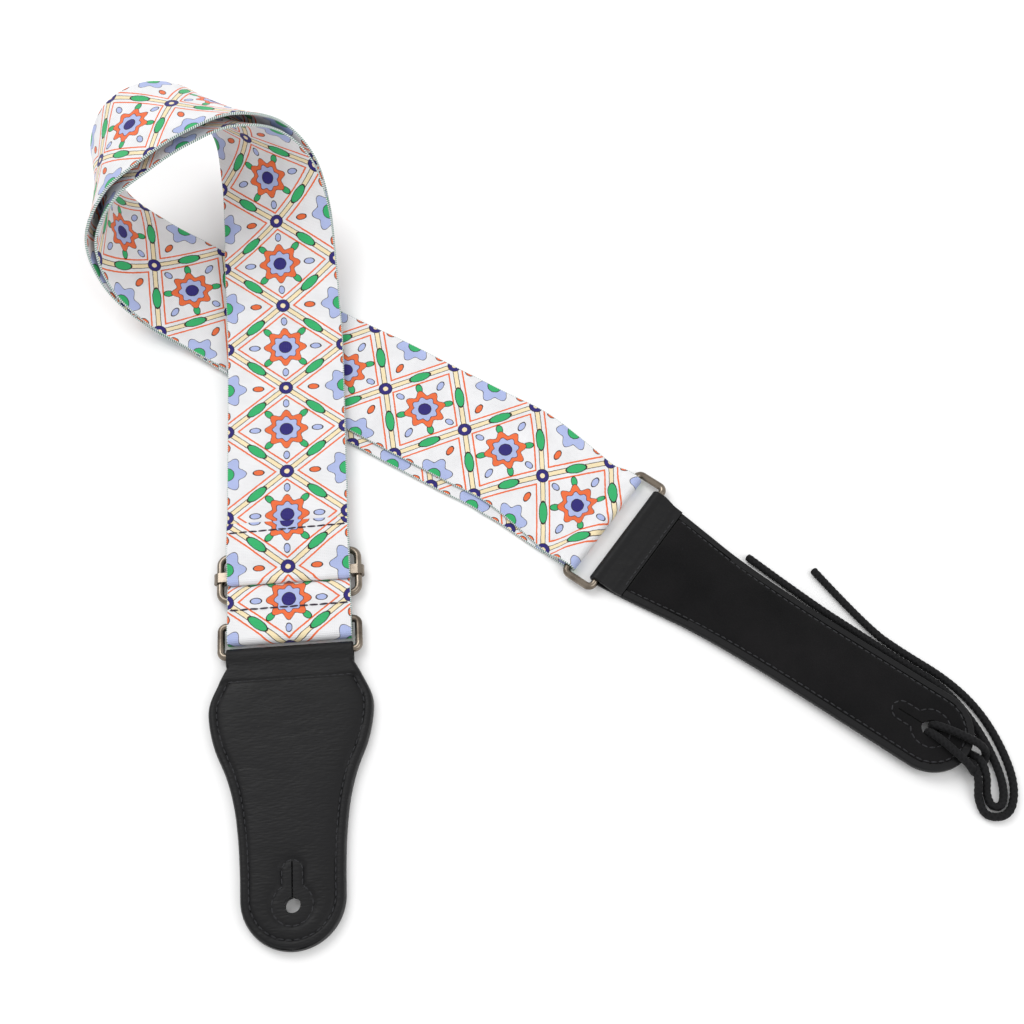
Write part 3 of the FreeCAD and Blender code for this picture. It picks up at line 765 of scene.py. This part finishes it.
def cutHole(sheet, place, radius, height, slitTowards=13.0):
    # a round hole at place with a fine slit towards the ring
    clearSelection()
    bpy.ops.mesh.primitive_cylinder_add(vertices=48, radius=radius * mm, depth=height * mm)
    drill = bpy.context.object
    bpy.ops.mesh.primitive_cube_add(size=1)
    slit = bpy.context.object
    slit.scale = (0.5 * mm, (radius + slitTowards) * mm, height * 0.98 * mm)
    slit.location = (0, (radius + slitTowards) / 2 * mm, 0)
    for tool in (drill, slit):
        clearSelection()
        tool.select_set(True)
        bpy.context.view_layer.objects.active = tool
        bpy.ops.object.transform_apply(location=True, rotation=True, scale=True)
        corners = np.array([v.co for v in tool.data.vertices]) / mm
        moved = place(corners) * mm
        tool.data.vertices.foreach_set("co", moved.ravel())
        clearSelection()
        sheet.select_set(True)
        bpy.context.view_layer.objects.active = sheet
        cut = sheet.modifiers.new("cut", "BOOLEAN")
        cut.operation = "DIFFERENCE"
        cut.object = tool
        cut.solver = "EXACT"
        bpy.ops.object.modifier_apply(modifier=cut.name)
        bpy.data.objects.remove(tool)
    clearSelection()
    sheet.select_set(True)
    bpy.context.view_layer.objects.active = sheet
    bpy.ops.object.shade_smooth_by_angle(angle=math.radians(50))


def rearTabPlace(points):
    # the rear tab is tipped up about its bar, so that it rests on the lace
    points = np.array(points, float)
    pivotY, pivotZ = -wrapRadius - 0.7, barHeight
    turn = -math.radians(rearEnd["tilt"])
    y, z = points[:, 1] - pivotY, points[:, 2] - pivotZ
    tipped = np.stack([points[:, 0], pivotY + y * math.cos(turn) - z * math.sin(turn),
                       pivotZ + y * math.sin(turn) + z * math.cos(turn)], axis=1)
    return toRear(tipped)


def edgeSoft(half, x, radius=0.6, depth=0.5):
    return depth * (1 - roundedRise(half - np.abs(x), radius))


def frontCoverTop(x, y):
    d = outlineDistance(frontTab, x, y)
    key = keyholeDistance(x, y)
    below = 1 / (1 + np.exp((y - frontTab["crossSeam"]) / 0.4))
    rise = 1.55 + (frontTab["rim"] - 1.55) * roundedRise(np.where(y > 96, 9, d), 1.5)
    inside = 1 - np.exp(-np.maximum(d - frontTab["seam"], 0) / 3.2)
    away = 1 - np.exp(-np.maximum(key, 0) / 2.5)
    puff = frontTab["puff"] * inside * away * below
    neck = (1 - below) * 0.55
    sewn = 0.55 * groove(d - frontTab["seam"]) * below + 0.55 * groove(key - 0.3) * below
    sewn += 0.4 * groove(y - frontTab["crossSeam"], 0.6) * (np.abs(x) < 25.5)
    return rise + puff + neck - sewn


def makeFrontTab():
    rows = halfWidths(frontTab)[::-1]
    bodyRows = [(y, half) for y, half in rows if y < 93.9]
    neckHalf = frontTab["side"][0][1]
    outerPath = [(94.6, 5.58), (95.6, 5.68), (96.6, 5.84), (97.7, 6.02)]
    innerPath = [(94.3, 3.4), (94.8, 4.3), (95.8, 4.6), (97.4, 4.7)]
    outerPath += arcPoints((barTwoY, barHeight), 3.0, 90, -90, 24)
    innerPath += arcPoints((barTwoY, barHeight), 1.6, 90, -90, 24)
    for y in np.linspace(barTwoY - 1.5, 84.0, 10):
        outerPath.append((y, 0.06))
        innerPath.append((y, 1.46))

    def outer(i, x):
        if i < len(bodyRows):
            y = np.full(len(x), bodyRows[i][0])
            return y, frontCoverTop(x, y)
        y, z = outerPath[i - len(bodyRows)]
        hub = np.array([barTwoY, barHeight])
        away = np.array([max(0.0, y - hub[0]), z - hub[1]])
        away /= np.linalg.norm(away)
        soft = edgeSoft(neckHalf, x)
        return y - away[0] * soft, z - away[1] * soft

    def inner(i, x):
        if i < len(bodyRows):
            return np.full(len(x), bodyRows[i][0]), np.full(len(x), 1.5)
        y, z = innerPath[i - len(bodyRows)]
        return np.full(len(x), y), np.full(len(x), z)

    halves = [half for y, half in bodyRows] + [neckHalf] * len(outerPath)
    cover = makeSheet("frontCover", halves, outer, inner, leatherMaterial)
    cutHole(cover, lambda p: p, frontTab["hole"], 20)
    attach(cover, "front_tab")
    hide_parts("front_cover", "front_foam")

    backRows = [(y, half) for y, half in rows if y < 83.5]

    def backTop(i, x):
        return np.full(len(x), backRows[i][0]), np.full(len(x), 1.46)

    def backBottom(i, x):
        y = np.full(len(x), backRows[i][0])
        return y, 0.02 + 0.5 * (1 - roundedRise(outlineDistance(frontTab, x, y), 0.9))

    backing = makeSheet("frontBacking", [half for y, half in backRows], backTop, backBottom,
                        leatherMaterial)
    cutHole(backing, lambda p: p, frontTab["hole"], 20)
    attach(backing, "front_tab")
    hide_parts("front_backing")


def rearRimTop(x, y):
    d = outlineDistance(rearTab, x, y)
    rim = rearTab["rim"] * (0.35 + 0.65 * roundedRise(d, 0.8))
    return np.where(d < rearTab["panelInset"] + 0.2, rim, 1.4)


def makeRearTab():
    rows = halfWidths(rearTab)[::-1]
    bodyRows = [(y, half) for y, half in rows if y < -6.5]
    neckHalf = rearTab["side"][0][1]
    barY = -wrapRadius - 0.7
    outerPath = arcPoints((barY, barHeight), 3.0, -90, 90, 24)
    innerPath = arcPoints((barY, barHeight), 1.6, -90, 90, 24)
    middle = smoothCurve([(barY - 2, 5.3), (barY - 5, 3.8), (-11, 2.35), (-15.0, 2.2)], 8)
    slope = np.gradient(middle, axis=0)
    slope /= np.linalg.norm(slope, axis=1)[:, None]
    for (y, z), (dy, dz) in zip(middle, slope):
        outerPath.append((y + dz * 0.7, z - dy * 0.7))
        innerPath.append((y - dz * 0.7, z + dy * 0.7))

    def outer(i, x):
        if i < len(bodyRows):
            y = np.full(len(x), bodyRows[i][0])
            return y, 0.5 * (1 - roundedRise(outlineDistance(rearTab, x, y), 0.8))
        y, z = outerPath[i - len(bodyRows)]
        away = np.array([max(0.0, y - barY), z - barHeight if y > barY else 3.0])
        away /= np.linalg.norm(away)
        soft = edgeSoft(neckHalf, x, 0.6, 0.35)
        return y - away[0] * soft, z - away[1] * soft

    def inner(i, x):
        if i < len(bodyRows):
            y = np.full(len(x), bodyRows[i][0])
            top = rearRimTop(x, y) if bodyRows[i][0] < -15.3 else np.full(len(x), 1.4)
            return y, top
        y, z = innerPath[i - len(bodyRows)]
        return np.full(len(x), y), np.full(len(x), z)

    halves = [half for y, half in bodyRows] + [neckHalf] * 25
    tail = np.interp([-y for y, z in outerPath[25:]], [6, 16], [23.8, 22.8])
    halves += list(tail)
    base = makeSheet("rearBase", halves, outer, inner, leatherMaterial, rearTabPlace)
    cutHole(base, lambda p: rearTabPlace(p + np.array([0, -rearEnd["hole"], 0])), rearTab["hole"], 20, 10.5)
    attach(base, "rear_tab")
    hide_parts("rear_base")

    panelRows = [(y, half) for y, half in halfWidths(rearTab, rearTab["panelInset"])[::-1] if y < -15.25]

    def liningTop(i, x):
        y = np.full(len(x), panelRows[i][0])
        d = outlineDistance(rearTab, x, y)
        key = keyholeDistance(x, y + rearEnd["hole"])
        inside = np.minimum(d - rearTab["panelInset"], -15.25 - y + 0.02)
        z = 1.5 + 1.35 * roundedRise(np.maximum(inside, 0), 0.5)
        fromSeam = 1 - np.exp(-np.maximum(d - rearTab["seam"], 0) / 2.5)
        fromKeyhole = 1 - np.exp(-np.maximum(key, 0) / 2)
        z += 0.25 * fromSeam * fromKeyhole
        return y, z - 0.3 * groove(d - rearTab["seam"], 0.4) - 0.3 * groove(key - 0.3, 0.4)

    def liningBottom(i, x):
        return np.full(len(x), panelRows[i][0]), np.full(len(x), 1.4)

    lining = makeSheet("rearLining", [half for y, half in panelRows], liningTop, liningBottom,
                       suedeMaterial, rearTabPlace)
    cutHole(lining, lambda p: rearTabPlace(p + np.array([0, -rearEnd["hole"], 0])), rearTab["hole"], 20, 10.5)
    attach(lining, "rear_tab")
    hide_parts("rear_lining", "rear_stiffener")


makeFrontTab()
makeRearTab()
print("tabs made")

# ---- stitching: one stitch, copied along each seam ----
stitchLook = {"length": 2.3, "pitch": 2.9, "width": 0.62, "height": 0.42}


def oneStitch(length, width, height):
    clearSelection()
    bpy.ops.mesh.primitive_uv_sphere_add(segments=8, ring_count=6, radius=0.5)
    stitch = bpy.context.object
    places = np.array([v.co for v in stitch.data.vertices])
    faces = [tuple(f.vertices) for f in stitch.data.polygons]
    bpy.data.objects.remove(stitch)
    # long like a grain of rice, with fuller ends
    stretched = np.sign(places[:, 2]) * np.abs(2 * places[:, 2]) ** 0.8 / 2
    return np.stack([stretched * length, places[:, 0] * width, places[:, 1] * height], axis=1), faces


def makeStitches(name, line, node, body, place, closed=False, look=stitchLook, thread=None):
    line = np.array(line, float)
    if closed:
        line = np.vstack([line, line[:1]])
    lengths = np.concatenate([[0], np.cumsum(np.linalg.norm(np.diff(line, axis=0), axis=1))])
    count = max(1, round(lengths[-1] / look["pitch"]))
    shape, shapeFaces = oneStitch(look["length"], look["width"], look["height"])
    verts, faces = [], []
    for i in range(count):
        middle = (i + 0.5) * lengths[-1] / count
        ends = [np.array([np.interp(middle + s, lengths, line[:, k]) for k in range(3)]) for s in (-0.4, 0.4)]
        along = ends[1] - ends[0]
        along /= np.linalg.norm(along)
        side = np.cross((0, 0, 1.0), along)
        side /= np.linalg.norm(side)
        slant = math.sin(i * 2.3) * 0.07
        along, side = along + side * slant, side - along * slant
        up = np.cross(along, side)
        at = (ends[0] + ends[1]) / 2
        placed = at + shape[:, :1] * along + shape[:, 1:2] * side + shape[:, 2:] * up
        faces += [tuple(k + len(verts) for k in face) for face in shapeFaces]
        verts += [tuple(p) for p in placed]
    verts = place(np.array(verts))
    seam = meshPiece(name, verts * mm, faces, 80)
    paint(seam, thread or tabThreadMaterial)
    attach(seam, body)
    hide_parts(node)
    return seam


def insetLine(tab, height, farEnd):
    rows = [(y, half) for y, half in halfWidths(tab, tab["seam"]) if y < farEnd]
    right = [(half, y, height(half, y)) for y, half in rows]
    left = [(-half, y, height(half, y)) for y, half in rows[::-1]]
    return right + left


def keyholeLine(height):
    neck, radius = 3.9, 7.7
    meet = math.asin(neck / radius)
    points = [(radius * math.sin(a), radius * math.cos(a)) for a in np.linspace(meet, 2 * math.pi - meet, 40)]
    points += [(-neck, y) for y in (8.5, 10.5, 12.5)]
    points += [(neck * math.cos(a), 12.5 + neck * math.sin(a)) for a in np.linspace(math.pi, 0, 12)[1:]]
    points += [(neck, y) for y in (10.5, 8.5)]
    return [(x, y, height) for x, y in points]


def samePlace(points):
    return points


def makeSeams():
    makeStitches("frontEdgeStitches", insetLine(frontTab, lambda x, y: 4.78, 86.6), "front_edge_seam",
                 "front_tab", samePlace)
    makeStitches("frontCrossStitches", [(-24.6, 87.6, 5.18), (24.6, 87.6, 5.18)], "front_cross_seam",
                 "front_tab", samePlace)
    makeStitches("frontKeyholeStitches", keyholeLine(4.83), "front_keyhole_seam", "front_tab", samePlace,
                 closed=True)
    makeStitches("rearEdgeStitches", insetLine(rearTab, lambda x, y: 2.72, -16.2), "rear_edge_seam",
                 "rear_tab", rearTabPlace)
    makeStitches("rearCrossStitches", [(-18.3, -14.0, 2.98), (18.3, -14.0, 2.98)], "rear_cross_seam",
                 "rear_tab", rearTabPlace)
    makeStitches("rearKeyholeStitches", keyholeLine(2.78), "rear_keyhole_seam", "rear_tab",
                 lambda p: rearTabPlace(p + np.array([0, -rearEnd["hole"], 0])), closed=True)
    bold = {"length": 3.6, "pitch": 3.9, "width": 0.8, "height": 0.6}
    makeStitches("flapStitches", [(-24.0, 150.2, 9.15), (24.0, 151.3, 9.15)], "glide_seam", "slider",
                 samePlace, look=bold, thread=webThreadMaterial)
    makeStitches("endLoopStitches", [(-24.0, 117.6, 5.95), (24.0, 117.8, 5.95)], "end_loop_seam", "webbing",
                 samePlace, look=bold, thread=webThreadMaterial)


makeSeams()
print("seams made")

# ---- metal: the wires keep their shape from the frame ----
for nodeName in ("front_ring", "rear_ring", "glide_frame", "glide_bar"):
    paint(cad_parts[nodeName], nickelMaterial)
print("metal finished")

# ---- floor and lights ----
studio = {"floor": (0.93, 0.93, 0.93, 1), "sky": 0.85, "key": 9.0, "fill": 4.0}


def makeStudio():
    clearSelection()
    bpy.ops.mesh.primitive_plane_add(size=6, location=(0.1, 0.15, -0.0004))
    floor = bpy.context.object
    floor.name = "floor"
    material, tree, shader = newMaterial("paleFloor", Roughness=0.85, Specular_IOR_Level=0.2)
    place = objectPoint(tree)
    patch = ranged(tree, noise(tree, place, 3.0), 0.3, 0.7, 0.0, 0.02)
    tree.links.new(layColour(tree, studio["floor"], patch, (0.9, 0.9, 0.9, 1)), shader.inputs["Base Color"])
    floor.data.materials.append(material)
    world = bpy.data.worlds.new("softSky")
    bpy.context.scene.world = world
    world.use_nodes = True
    world.node_tree.nodes["Background"].inputs["Color"].default_value = (1, 1, 1, 1)
    world.node_tree.nodes["Background"].inputs["Strength"].default_value = studio["sky"]
    for name, place, size, power in (("keyLight", (-0.5, 0.9, 1.3), 0.9, studio["key"]),
                                     ("fillLight", (0.9, -0.3, 1.2), 0.9, studio["fill"])):
        light = bpy.data.objects.new(name, bpy.data.lights.new(name, "AREA"))
        light.data.shape = "SQUARE"
        light.data.size = size
        light.data.energy = power
        light.location = place
        aim = Vector((0.1, 0.15, 0)) - Vector(place)
        light.rotation_mode = "QUATERNION"
        light.rotation_quaternion = aim.to_track_quat("-Z", "Y")
        bpy.context.collection.objects.link(light)
    bpy.context.scene.view_settings.view_transform = "Standard"


makeStudio()
